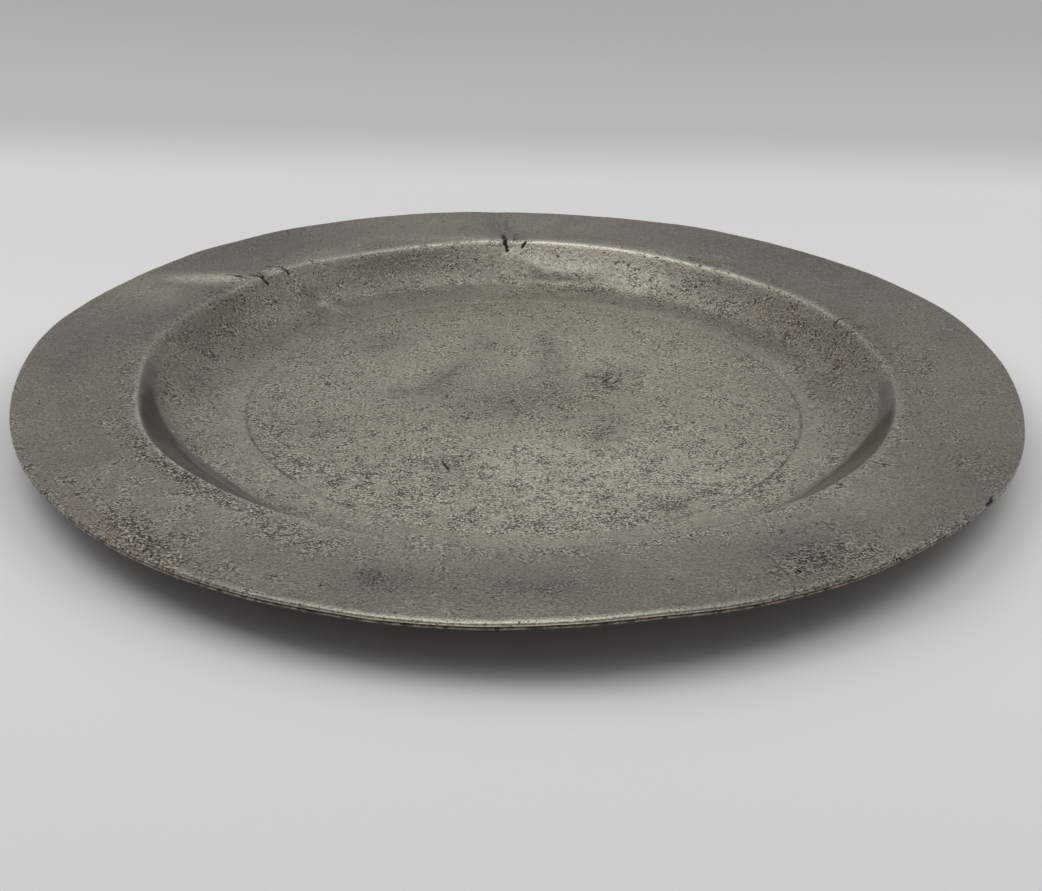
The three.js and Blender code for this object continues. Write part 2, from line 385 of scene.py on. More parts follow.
def body_section():
    """Rows (radius, height, columns joined into one face, 1 on the upper face) of the body."""
    rows = []
    for first, end, step, joined in FLOOR_ROWS:
        rows += [(r, FLOOR_TOP, joined, 1) for r in np.arange(first, end, step)]
    rows += [(r, FLOOR_TOP + lift, 1, 1) for r, lift in RING_PROFILE]
    well = well_rows()
    rows += [(r, z, 1, 1) for r, z in well]
    rows += [(MOUTH_R + out, MOUTH_TOP - drop, 1, 1) for out, drop in CREST_PROFILE]
    for r in np.linspace(MOUTH_R + 2.3, OUTER_R - EDGE_ROUND, RIM_ROWS):
        share = (r - MOUTH_R) / (OUTER_R - EDGE_ROUND - MOUTH_R)
        rows.append((r, MOUTH_TOP + share * (EDGE_TOP - MOUTH_TOP), 1, 1))
    rows += [(OUTER_R - inset, EDGE_TOP - drop, 1, 1) for inset, drop in EDGE_PROFILE]
    rows += [(OUTER_R - inset, EDGE_TOP - metal, 2, 0) for inset, metal in REBATE_PROFILE]
    for r in np.linspace(OUTER_R - 5.5, MOUTH_R + 3.0, UNDER_RIM_ROWS):
        share = (r - MOUTH_R) / (OUTER_R - MOUTH_R)
        rows.append((r, MOUTH_TOP + share * (EDGE_TOP - MOUTH_TOP) - RIM_METAL, 2, 0))
    well = np.array(well)[::2][::-1]
    along = np.gradient(well, axis=0)
    along /= -np.hypot(*along.T)[:, None]
    rows += [(r + METAL * dz, z - METAL * dr, 2, 0) for (r, z), (dr, dz) in zip(well, along)]
    for radii, joined in BASE_ROWS:
        rows += [(r, 0.0, joined, 0) for r in radii]
    return np.array(rows)


def wire_section():
    """A half-round wire, flat on top."""
    flat = EDGE_TOP - EDGE_METAL - SEAM
    half = WIRE_WIDTH / 2
    middle = OUTER_R - EDGE_INSET - half
    turns = np.linspace(0.0, -math.pi, WIRE_ROWS)
    return np.array([(middle + half * math.cos(t), flat + WIRE_HEIGHT * math.sin(t)) for t in turns])


def solder_section():
    flat = EDGE_TOP - EDGE_METAL - SEAM
    outside = OUTER_R - EDGE_INSET - WIRE_WIDTH - SEAM
    return np.array([(outside - inset, flat - drop) for inset, drop in SOLDER_PROFILE])


# ---------------------------------------------------------------- the body's mesh
COLUMNS = 480
FINE = 8
LAPS = COLUMNS * FINE
LEVELS = 3


def detail_spots():
    """Places that need small faces: rows of (x, y, reach, level)."""
    spots = []
    for points, half_width, depth in CRACKS:
        points = np.array(points)
        for a, b in zip(points[:-1], points[1:]):
            steps = max(2, int(np.hypot(*(b - a)) / 0.5))
            for t in np.linspace(0.0, 1.0, steps):
                x, y = a + t * (b - a)
                spots.append((x, y, 2.2 * half_width, 3))
                spots.append((x, y, 2.2 * half_width + 1.2, 2))
    for x, y, size, _, _, _ in PITS:
        spots.append((x, y, 1.1 * size, 3 if size < 0.5 else 2))
        spots.append((x, y, 1.1 * size + 0.8, 1))
    for points, half_width, _ in RIDGES:
        points = np.array(points)
        for a, b in zip(points[:-1], points[1:]):
            for t in np.linspace(0.0, 1.0, 1 + int(np.hypot(*(b - a)) / half_width)):
                spots.append((*(a + t * (b - a)), 2.2 * half_width, 1))
    return spots


def split_cells(cells, section):
    """Quarters the cells near cracks and pits, as many times as they need."""
    spots = detail_spots()
    for level in range(1, LEVELS + 1):
        row = (cells[:, 0] + cells[:, 1]) / 2 / FINE
        turn = (cells[:, 2] + cells[:, 3]) / 2 * 2 * math.pi / LAPS
        radius = np.interp(row, np.arange(len(section)), section[:, 0])
        size = np.interp(row + 0.5, np.arange(len(section)), section[:, 0]) - radius
        size = np.maximum(np.abs(size), radius * (cells[:, 3] - cells[:, 2]) * math.pi / LAPS)
        x, y = radius * np.cos(turn), radius * np.sin(turn)
        upper = section[(cells[:, 0] // FINE), 3] > 0.5
        small = (cells[:, 1] - cells[:, 0] > 1) & (cells[:, 3] - cells[:, 2] > 1)
        near = np.zeros(len(cells), bool)
        for sx, sy, reach, depth in spots:
            if depth >= level:
                wide = reach + size
                near |= (np.abs(x - sx) < wide) & (np.abs(y - sy) < wide) & (
                    (x - sx) ** 2 + (y - sy) ** 2 < wide ** 2)
        split = near & upper & small
        old = cells[split]
        row_mid, lap_mid = (old[:, 0] + old[:, 1]) // 2, (old[:, 2] + old[:, 3]) // 2
        quarters = [
            np.stack([old[:, 0], row_mid, old[:, 2], lap_mid], 1),
            np.stack([old[:, 0], row_mid, lap_mid, old[:, 3]], 1),
            np.stack([row_mid, old[:, 1], old[:, 2], lap_mid], 1),
            np.stack([row_mid, old[:, 1], lap_mid, old[:, 3]], 1),
        ]
        cells = np.vstack([cells[~split]] + quarters)
    return cells


def lattice_faces(cells):
    """Faces round the cells, with every neighbour's corner on their sides, and the corners used."""
    corners = set()
    for r0, r1, c0, c1 in cells.tolist():
        c1 %= LAPS
        corners.update(((r0, c0), (r0, c1), (r1, c0), (r1, c1)))
    order = {spot: i for i, spot in enumerate(sorted(corners))}
    in_row, in_lap = {}, {}
    for r, c in sorted(corners):
        in_row.setdefault(r, []).append(c)
        in_lap.setdefault(c, []).append(r)
    in_row = {r: np.array(v) for r, v in in_row.items()}
    in_lap = {c: np.array(v) for c, v in in_lap.items()}

    def between(line, low, high):
        return line[np.searchsorted(line, low, "right"):np.searchsorted(line, high, "left")].tolist()

    faces = []
    for r0, r1, c0, c1 in cells.tolist():
        end = c1 % LAPS
        face = [(r0, c0)] + [(r, c0) for r in between(in_lap[c0], r0, r1)]
        face += [(r1, c0)] + [(r1, c) for c in between(in_row[r1], c0, c1)]
        face += [(r1, end)] + [(r, end) for r in between(in_lap[end], r0, r1)[::-1]]
        face += [(r0, end)] + [(r0, c) for c in between(in_row[r0], c0, c1)[::-1]]
        faces.append([order[spot] for spot in face])
    return np.array(sorted(corners)), faces, order


def spline(values, at):
    """Smooth curve through values at whole numbers."""
    count = len(values)
    i = np.clip(np.floor(at).astype(int), 0, count - 2)
    t = at - i
    p0, p1 = values[np.maximum(i - 1, 0)], values[i]
    p2, p3 = values[i + 1], values[np.minimum(i + 2, count - 1)]
    bend = 2 * p1 + (p2 - p0) * t + (2 * p0 - 5 * p1 + 4 * p2 - p3) * t ** 2
    return 0.5 * (bend + (3 * p1 - p0 - 3 * p2 + p3) * t ** 3)


def make_body():
    section = body_section()
    cells = []
    for i, row in enumerate(section[:-1]):
        joined = int(row[2])
        for c in range(0, COLUMNS, joined):
            cells.append((i * FINE, (i + 1) * FINE, c * FINE, (c + joined) * FINE))
    corners, faces, order = lattice_faces(split_cells(np.array(cells), section))
    at = corners[:, 0] / FINE
    turn = corners[:, 1] * 2 * math.pi / LAPS
    radius, height = spline(section[:, 0], at), spline(section[:, 1], at)
    upper = np.interp(at, np.arange(len(section)), section[:, 3])
    along_r = spline(section[:, 0], at + 0.01) - spline(section[:, 0], at - 0.01)
    along_z = spline(section[:, 1], at + 0.01) - spline(section[:, 1], at - 0.01)
    size = np.maximum(np.hypot(along_r, along_z), 1e-9)
    out_r, out_z = -along_z / size, along_r / size
    section_radius = radius
    radius = radius + oval_at(radius, turn) + ring_shift(radius, turn) + mouth_push(radius, turn)
    x, y = radius * np.cos(turn), radius * np.sin(turn)
    relief, crack, pit = surface_relief(x, y)
    relief *= upper
    points = np.stack([
        x + relief * out_r * np.cos(turn),
        y + relief * out_r * np.sin(turn),
        height + relief * out_z + bends_at(x, y, upper),
    ], 1)
    last_row = (len(section) - 1) * FINE
    first = [c for c in range(0, LAPS) if (0, c) in order]
    last = [c for c in range(0, LAPS) if (last_row, c) in order]
    for line, row, centre in ((first, 0, FLOOR_TOP), (last, last_row, 0.0)):
        middle = len(points)
        lift = float(bends_at(np.zeros(1), np.zeros(1), 1.0)[0]) if row == 0 else 0.0
        points = np.vstack([points, [0.0, 0.0, centre + lift]])
        for c, d in zip(line, line[1:] + line[:1]):
            pair = [order[(row, c)], order[(row, d)]]
            faces.append([middle] + (pair if row == 0 else pair[::-1]))
    section_radius, crack, pit = (np.append(values, [0.0, 0.0]) for values in (section_radius, crack, pit))
    upper = np.append(upper, [1.0, 0.0])
    masks = surface_masks(points[:, 0], points[:, 1], section_radius)
    masks.update(crack=crack, pit=pit)
    masks = {name: values * upper for name, values in masks.items()}
    masks["tone_and_light"] += PLAIN_TONE
    return make_piece("plate_body_visual", points, faces, masks)


# ---------------------------------------------------------------- where the surface differs
# Dark smudges: (x, y, half length, half width, direction, strength)
STAINS = [
    (-25.5, 7.0, 5.5, 2.6, 15, 0.9), (-18.5, 16.0, 7.0, 2.4, 62, 0.8), (-36.0, 37.0, 6.0, 3.6, 20, 0.7),
    (8.0, 31.0, 12.0, 3.0, 95, 0.8), (-9.0, 38.0, 4.0, 6.0, 0, 0.45), (22.0, -14.0, 8.0, 3.0, 70, 0.6),
    (-48.0, -16.0, 7.0, 4.5, 20, 0.4), (24.0, 18.0, 6.0, 4.5, 40, 0.5),
    (-16.0, -34.0, 6.0, 4.0, 100, 0.35), (-68.0, 94.0, 10.0, 5.0, 40, 0.55),
    (-94.0, 24.0, 10.0, 4.0, 70, 0.4), (-109.0, 4.0, 9.0, 3.5, 90, 0.5),
    (108.0, 26.0, 9.0, 4.0, 70, 0.45), (-26.0, -102.0, 7.0, 4.5, 0, 0.85),
    (4.0, -106.0, 9.0, 4.5, -10, 0.75), (58.0, -85.0, 9.0, 5.0, 35, 0.8),
    (-56.0, 46.0, 12.0, 5.0, 50, 0.75), (-79.0, 6.0, 6.0, 3.0, 75, 0.8),
    (-7.0, 107.0, 8.0, 3.4, 100, 0.75), (-2.0, 95.4, 2.8, 1.9, 90, 1.0), (-5.4, 99.0, 2.4, 1.2, 90, 0.8),
    (32.0, 66.5, 10.0, 2.6, -26, 0.8), (60.0, 46.0, 12.0, 5.0, -50, 0.5),
    (-84.0, 28.0, 8.0, 4.0, 110, 0.5), (76.0, 12.0, 10.0, 4.0, 95, 0.4),
    (-53.0, -57.0, 5.0, 3.0, 140, 0.5), (37.0, -52.0, 10.0, 4.0, 40, 0.4),
    (90.0, -72.0, 8.0, 4.0, 50, 0.35), (-80.0, 80.0, 9.0, 4.0, 45, 0.4),
]

# Reddish brown tarnish, given the same way
TARNISH = [
    (72.0, 44.0, 16.0, 6.0, -58, 0.9), (80.0, 26.0, 14.0, 4.0, -72, 0.7),
    (-88.0, -78.0, 16.0, 4.0, 130, 0.9), (-72.0, -92.0, 12.0, 3.5, 140, 0.8),
    (104.0, 12.0, 16.0, 6.0, 100, 0.6), (-98.0, -4.0, 14.0, 5.0, 80, 0.5),
    (18.0, 88.0, 10.0, 2.0, -15, 0.8), (12.0, 72.0, 7.0, 2.0, 0, 0.8),
    (-60.0, 66.0, 10.0, 4.0, 130, 0.5), (62.0, -100.0, 10.0, 3.0, 30, 0.6),
    (-8.0, 60.0, 16.0, 8.0, 0, 0.3), (20.0, 0.0, 20.0, 14.0, 20, 0.25),
    (100.0, -40.0, 12.0, 6.0, 60, 0.4), (-24.0, 84.0, 12.0, 3.0, 15, 0.4),
]

# Where fine pits are dense, given the same way
PITTED = [
    (36.0, 12.0, 22.0, 20.0, 0, 0.5), (10.0, -46.0, 40.0, 18.0, 0, 0.7),
    (-32.0, -38.0, 20.0, 14.0, 130, 0.7), (-68.0, -60.0, 26.0, 3.6, 132, 1.0),
    (62.0, -92.0, 10.0, 5.0, 32, 1.0), (-76.0, -86.0, 20.0, 3.5, 130, 0.9),
    (56.0, 54.0, 16.0, 5.0, -42, 0.5), (-94.0, 0.0, 22.0, 4.0, 90, 0.5),
    (98.0, 8.0, 26.0, 5.0, 95, 0.6), (26.0, 72.0, 16.0, 4.0, -14, 0.7),
    (-22.0, 88.0, 22.0, 2.0, 10, 0.7), (48.0, 78.0, 18.0, 3.0, -30, 0.6),
    (-38.0, -88.0, 22.0, 4.0, 160, 0.4), (105.0, -48.0, 10.0, 5.0, 115, 0.6),
    (60.0, -44.0, 16.0, 12.0, 60, 0.6), (-16.0, -34.0, 8.0, 6.0, 100, 0.7),
    (22.0, 16.0, 8.0, 7.0, 40, 0.9), (-56.0, -56.0, 12.0, 5.0, 135, 0.6),
    (-72.0, -74.0, 26.0, 12.0, 132, 0.3), (-64.0, 64.0, 10.0, 3.0, 130, 0.6),
]

# Broad patches that are brighter (above 0) or duller (below 0), given the same way. Some are the metal's own
# tone; others are painted highlights on the rear of the well below the mouth, and painted light and shade
# along the bent rim at the rear left
TONE_AND_LIGHT_PATCHES = [
    (0.0, 0.0, 40.0, 40.0, 0, 0.31), (4.0, -110.0, 30.0, 6.0, 0, -0.07),
    (42.0, 30.0, 24.0, 20.0, 30, 0.09), (18.0, -46.0, 46.0, 20.0, 0, 0.34),
    (0.0, 2.0, 16.0, 13.0, 0, -0.42), (0.0, 34.0, 26.0, 10.0, 0, 0.05),
    (62.0, -90.0, 16.0, 7.0, 40, -0.12), (68.0, -66.0, 12.0, 7.0, 45, 0.12),
    (-42.0, -84.0, 24.0, 5.0, -22, 0.12), (103.0, 8.0, 18.0, 8.0, 90, 0.10),
    (-82.0, 57.0, 7.0, 3.0, 0, 0.45), (-108.0, 2.0, 20.0, 12.0, 90, -0.04),
    (-92.0, 46.0, 18.0, 7.0, 150, 0.24), (-14.0, 108.0, 44.0, 10.0, 0, 0.16),
    (-66.0, 40.0, 22.0, 10.0, 120, -0.10), (-78.0, 39.0, 14.0, 7.0, 120, -0.28),
    (74.0, -46.0, 10.0, 5.0, 55, -0.12), (-68.0, -42.0, 16.0, 8.0, 125, -0.06),
    (-92.0, -70.0, 30.0, 14.0, 130, 0.07), (-40.0, 68.0, 14.0, 8.0, 30, -0.18),
    (66.0, 46.0, 22.0, 7.0, -50, -0.22), (10.0, 88.0, 24.0, 3.0, -7, 0.55),
    (30.0, 80.0, 12.0, 3.5, -24, 0.35), (98.0, -52.0, 12.0, 10.0, 60, -0.10),
    (60.0, 94.0, 30.0, 8.0, -33, -0.12), (-60.0, 94.0, 30.0, 8.0, 33, -0.08),
    (0.0, -79.0, 40.0, 6.0, 0, 0.14), (0.0, 77.0, 46.0, 7.0, 0, -0.12),
    (-56.0, 73.0, 11.0, 4.0, 54, 0.30),
]
PLAIN_TONE = 0.5


def add_blobs(x, y, blobs):
    total = np.zeros_like(x)
    for *spot, strength in blobs:
        total = 1.0 - (1.0 - total) * (1.0 - strength * blob(x, y, spot))
    return total


def wear_and_highlight_mask(radius, degrees, to_front):
    """Rubbed metal and painted highlights: the crest of the mouth, mostly at the rear, the edge at the front
    and the near lip of the mouth at the front left, partly worn and partly a painted highlight.
    """
    crest = bell(radius, MOUTH_R + 0.1, 0.95) * (0.10 + 0.90 * angular_window(degrees, 78.0, 27.0))
    corner = smoothstep(radius, OUTER_R - 1.6, OUTER_R - 0.6)
    corner *= 0.05 + 0.6 * angular_window(degrees, 268.0, 14.0)
    lip = bell(radius, MOUTH_R - 0.05, 0.32) * smoothstep(to_front, -0.2, 0.1)
    lip *= 0.15 + 0.8 * angular_window(degrees, 214.0, 18.0)
    return np.maximum.reduce([crest, corner, lip])


def wall_mask(radius, to_front):
    """The smooth strip high on the wall, from the left round the front to the right, where the metal also
    gets painted shade.
    """
    foot = 79.0 + 9.0 * (1.0 - smoothstep(to_front, 0.05, 0.6))
    wall = smoothstep(radius - foot, -1.4, -0.2) * smoothstep(to_front, -0.07, 0.03)
    return wall * (1.0 - smoothstep(radius, MOUTH_R - 1.0, MOUTH_R))


def foot_shade_mask(radius, degrees):
    """Painted shade: the darker band along the foot of the wall, from the rear round to the left."""
    band = bell(radius, 70.5 + 5.0 * angular_window(degrees, 165.0, 20.0), 2.8)
    return band * plateau(degrees, 45.0, 70.0, 158.0, 182.0)


def pitted_mask(x, y, radius, degrees, to_front):
    flat = 1.0 - smoothstep(radius, FLOOR_R - 3.0, FLOOR_R + 6.0)
    flat *= 0.55 + 0.25 * smoothstep(-y, -20.0, 50.0)
    booge = plateau(radius, FLOOR_R, FLOOR_R + 6.0, MOUTH_R + 1.0, MOUTH_R + 8.0)
    booge *= 0.5 - 0.3 * smoothstep(-to_front, 0.3, 0.9)
    band = plateau(radius, MOUTH_R, MOUTH_R + 1.5, MOUTH_R + 3.5, MOUTH_R + 6.0)
    band *= angular_window(degrees, 222.0, 14.0)
    edge = smoothstep(radius, OUTER_R - 3.5, OUTER_R - 0.6) * windows(degrees, (312.0, 16.0), (218.0, 24.0))
    stain = add_blobs(x, y, STAINS)
    return np.maximum.reduce([add_blobs(x, y, PITTED), flat, booge, band, 0.6 * stain, 0.65 * edge])


def tone_and_light_mask(x, y, radius, degrees, wall):
    """How much brighter (above 0) or duller (below 0) than plain the metal is made: its own tone, with
    painted highlights and painted shade from some patches and painted shade on the strip high on the wall.
    """
    # The patches hold both the metal's own tone and painted highlights and shade
    tone_and_light = sum(strength * blob(x, y, spot) for *spot, strength in TONE_AND_LIGHT_PATCHES)
    rim = smoothstep(radius, MOUTH_R - 1.0, MOUTH_R + 3.0)
    tone_and_light -= 0.17 * rim * (1.0 - 0.3 * angular_window(degrees, 285.0, 22.0))
    tone_and_light -= 0.14 * plateau(radius, FLOOR_R, 80.0, MOUTH_R, MOUTH_R + 1.5)
    tone_and_light -= 0.07 * smoothstep(radius, MOUTH_R, MOUTH_R + 1.5)
    # Painted shade: the smooth strip high on the wall is darkened where it faces away from the viewer
    return tone_and_light - 0.36 * wall


def surface_masks(x, y, radius):
    """What the material needs to know at (x, y); "radius" is the radius in the section."""
    degrees = np.degrees(np.arctan2(y, x)) % 360.0
    to_front = -y / np.maximum(np.hypot(x, y), 1.0)
    wall = wall_mask(radius, to_front)
    wrinkle = plateau(radius, MOUTH_R, MOUTH_R + 1.5, MOUTH_R + 4.0, MOUTH_R + 8.0)
    return {
        "wear_and_highlight": wear_and_highlight_mask(radius, degrees, to_front),
        "wall": wall,
        "stain": add_blobs(x, y, STAINS),
        "foot": foot_shade_mask(radius, degrees),
        "ring": bell(radius, FLOOR_R - 0.1, 0.26) * windows(degrees, (212.0, 26.0), (335.0, 28.0)),
        "wrinkle": wrinkle * windows(degrees, (4.0, 24.0), (200.0, 20.0)),
        "tarnish": add_blobs(x, y, TARNISH),
        "tone_and_light": tone_and_light_mask(x, y, radius, degrees, wall),
        "pitted": pitted_mask(x, y, radius, degrees, to_front),
    }


def make_piece(name, points, faces, masks):
    mesh = bpy.data.meshes.new(name)
    mesh.from_pydata((points * MM).tolist(), [], faces)
    for key, values in masks.items():
        mesh.attributes.new(key, "FLOAT", "POINT").data.foreach_set("value", values.astype(np.float32))
    mesh.update()
    mesh.shade_smooth()
    piece = bpy.data.objects.new(name, mesh)
    bpy.context.scene.collection.objects.link(piece)
    return piece


def make_ring(name, section, wobble):
    """A closed section turned round the Z axis, with a wandering, uneven surface."""
    around = 2 * COLUMNS
    turn = np.linspace(0.0, 2.0 * math.pi, around, endpoint=False)
    waves = [(RANDOM.integers(9, 160), RANDOM.uniform(0, 2 * math.pi)) for _ in range(24)]
    lumps = sum(np.cos(n * turn + start) for n, start in waves) / math.sqrt(0.5 * len(waves))
    middle = section.mean(axis=0)
    shapes = middle + (section - middle)[:, None, :] * (1.0 + wobble * lumps)[None, :, None]
    top = section[:, 1].max()
    shapes[..., 1] = np.minimum(shapes[..., 1], top)
    radius = np.minimum(shapes[..., 0], section[:, 0].max() + 0.1)
    radius = radius + oval_at(radius, turn)
    x, y = radius * np.cos(turn), radius * np.sin(turn)
    points = np.stack([x, y, shapes[..., 1] + bends_at(x, y)], -1).reshape(-1, 3)
    rows = len(section)
    faces = []
    for i in range(rows):
        a, b = i * around, ((i + 1) % rows) * around
        for j in range(around):
            k = (j + 1) % around
            faces.append((a + j, b + j, b + k, a + k))
    dirt = 0.5 + 0.5 * np.tanh(lumps)
    return make_piece(name, points, faces, {"dirt": np.tile(dirt, rows)})


# ---------------------------------------------------------------- materials
STREAK_R = 92.0


class Nodes:
    """Builds a node material on the object's own coordinates, in millimetres."""

    def __init__(self, name):
        self.material = bpy.data.materials.new(name)
        self.material.use_nodes = True
        self.tree = self.material.node_tree
        self.shader = self.tree.nodes["Principled BSDF"]
        place = self.tree.nodes.new("ShaderNodeTexCoord")
        self.mm = self.vector("MULTIPLY", place.outputs["Object"], (1 / MM, 1 / MM, 1 / MM))

    def put(self, socket, value):
        if isinstance(value, bpy.types.NodeSocket):
            self.tree.links.new(value, socket)
        else:
            socket.default_value = value

    def node(self, kind, inputs, output, **settings):
        node = self.tree.nodes.new(kind)
        for key, value in settings.items():
            setattr(node, key, value)
        for key, value in inputs.items():
            self.put(node.inputs[key], value)
        return node.outputs[output]

    def vector(self, operation, a, b):
        return self.node("ShaderNodeVectorMath", {0: a, 1: b}, 0, operation=operation)

    def sum(self, *values):
        total = values[0]
        for value in values[1:]:
            total = self.node("ShaderNodeMath", {0: total, 1: value}, 0, operation="ADD")
        return total

    def less(self, a, b):
        return self.node("ShaderNodeMath", {0: a, 1: b}, 0, operation="SUBTRACT")

    def times(self, a, b):
        return self.node("ShaderNodeMath", {0: a, 1: b}, 0, operation="MULTIPLY")

    def most(self, a, b):
        return self.node("ShaderNodeMath", {0: a, 1: b}, 0, operation="MAXIMUM")

    def line(self, value, low, high, start=0.0, end=1.0, kind="SMOOTHSTEP"):
        """Takes low..high to start..end, smoothly or in a straight line, and stops at both ends."""
        inputs = {"Value": value, "From Min": low, "From Max": high, "To Min": start, "To Max": end}
        return self.node("ShaderNodeMapRange", inputs, 0, interpolation_type=kind)

    def noise(self, scale, detail=2.0, rough=0.5, shift=0.0, distort=0.0, nudge=0.0):
        """Noise of "scale" waves per millimetre. Each "shift" gives another pattern, and "nudge"
        moves the same pattern that many millimetres."""
        place = self.vector("ADD", self.mm, (shift, 1.7 * shift + nudge, 0.6 * shift))
        inputs = {"Vector": place, "Scale": scale, "Detail": detail, "Roughness": rough}
        inputs["Distortion"] = distort
        return self.node("ShaderNodeTexNoise", inputs, 0)

    def streaks(self, across, along, shift):
        """Noise drawn out along the radius: "across" (at STREAK_R) and "along" are in millimetres."""
        parts = self.tree.nodes.new("ShaderNodeSeparateXYZ")
        self.put(parts.inputs[0], self.mm)
        behind = self.times(parts.outputs[1], -1.0)
        turn = self.node("ShaderNodeMath", {0: parts.outputs[0], 1: behind}, 0, operation="ARCTAN2")
        radius = self.node("ShaderNodeVectorMath", {0: self.mm}, 1, operation="LENGTH")
        place = self.node("ShaderNodeCombineXYZ", {
            0: self.times(turn, STREAK_R / across), 1: self.times(radius, 1.0 / along), 2: shift}, 0)
        return self.node("ShaderNodeTexNoise", {"Vector": place, "Scale": 1.0, "Detail": 2.0}, 0)

    def mask(self, name):
        return self.node("ShaderNodeAttribute", {}, "Fac", attribute_name=name)

    def mix(self, share, a, b):
        node = self.tree.nodes.new("ShaderNodeMix")
        node.data_type = "RGBA"
        self.put(node.inputs[0], share)
        self.put(node.inputs[6], a)
        self.put(node.inputs[7], b)
        return node.outputs[2]

    def shade(self, color, factor):
        node = self.tree.nodes.new("ShaderNodeMix")
        node.data_type = "RGBA"
        node.blend_type = "MULTIPLY"
        node.inputs[0].default_value = 1.0
        self.put(node.inputs[6], color)
        self.put(node.inputs[7], factor)
        return node.outputs[2]

    def spots(self, scale, share, size, shift):
        """Small specks of mixed size in some of the cells of a scattered grid."""
        wobble = self.node("ShaderNodeTexNoise", {"Vector": self.mm, "Scale": 2.6, "Detail": 2.0}, 1)
        moved = self.vector("MULTIPLY_ADD", wobble, (0.9, 0.9, 0.9))
        self.put(moved.node.inputs[2], self.vector("ADD", self.mm, (shift, shift, shift)))
        cells = self.tree.nodes.new("ShaderNodeTexVoronoi")
        self.put(cells.inputs["Vector"], moved)
        cells.inputs["Scale"].default_value = scale
        chance = self.node("ShaderNodeSeparateColor", {0: cells.outputs["Color"]}, 0)
        other = self.node("ShaderNodeSeparateColor", {0: cells.outputs["Color"]}, 1)
        chosen = self.line(self.less(chance, share), 0.0, 0.02)
        radius = self.times(chosen, self.line(other, 0.0, 1.0, 0.3 * size, size, "LINEAR"))
        return self.line(self.less(radius, cells.outputs["Distance"]), 0.0, 0.10)


# Colours of the pewter, from its plain greys to dirt, with the greys of painted shade and painted highlights
PLAIN_GREY = (0.400, 0.372, 0.302, 1)
PALE_GREY = (0.467, 0.436, 0.358, 1)
BRIGHT_GREY = (0.554, 0.521, 0.430, 1)
GREEN_GREY = (0.435, 0.438, 0.368, 1)
PINK_GREY = (0.547, 0.460, 0.409, 1)
BROWN = (0.44, 0.350, 0.283, 1)
STAIN_GREY = (0.18, 0.177, 0.160, 1)
FOOT_SHADE_GREY = (0.28, 0.273, 0.238, 1)
SPECK_GREY = (0.28, 0.266, 0.224, 1)
RING_GREY = (0.10, 0.094, 0.078, 1)
CREASE_GREY = (0.12, 0.11, 0.092, 1)
RUBBED_HIGHLIGHT = (0.98, 0.90, 0.76, 1)
PAINTED_GLINT = (0.85, 0.80, 0.68, 1)
DIRT = (0.055, 0.050, 0.042, 1)

# The pattern of the small dark marks: scale, detail, roughness, shift and distortion. The painted
# highlight on the lip of a mark is the same pattern moved a little.
MARK_NOISE = (1.7, 3.0, 0.6, 101.0, 0.6)
LIP_HIGHLIGHT_NUDGE = -0.4
MARK_EDGE = 0.018


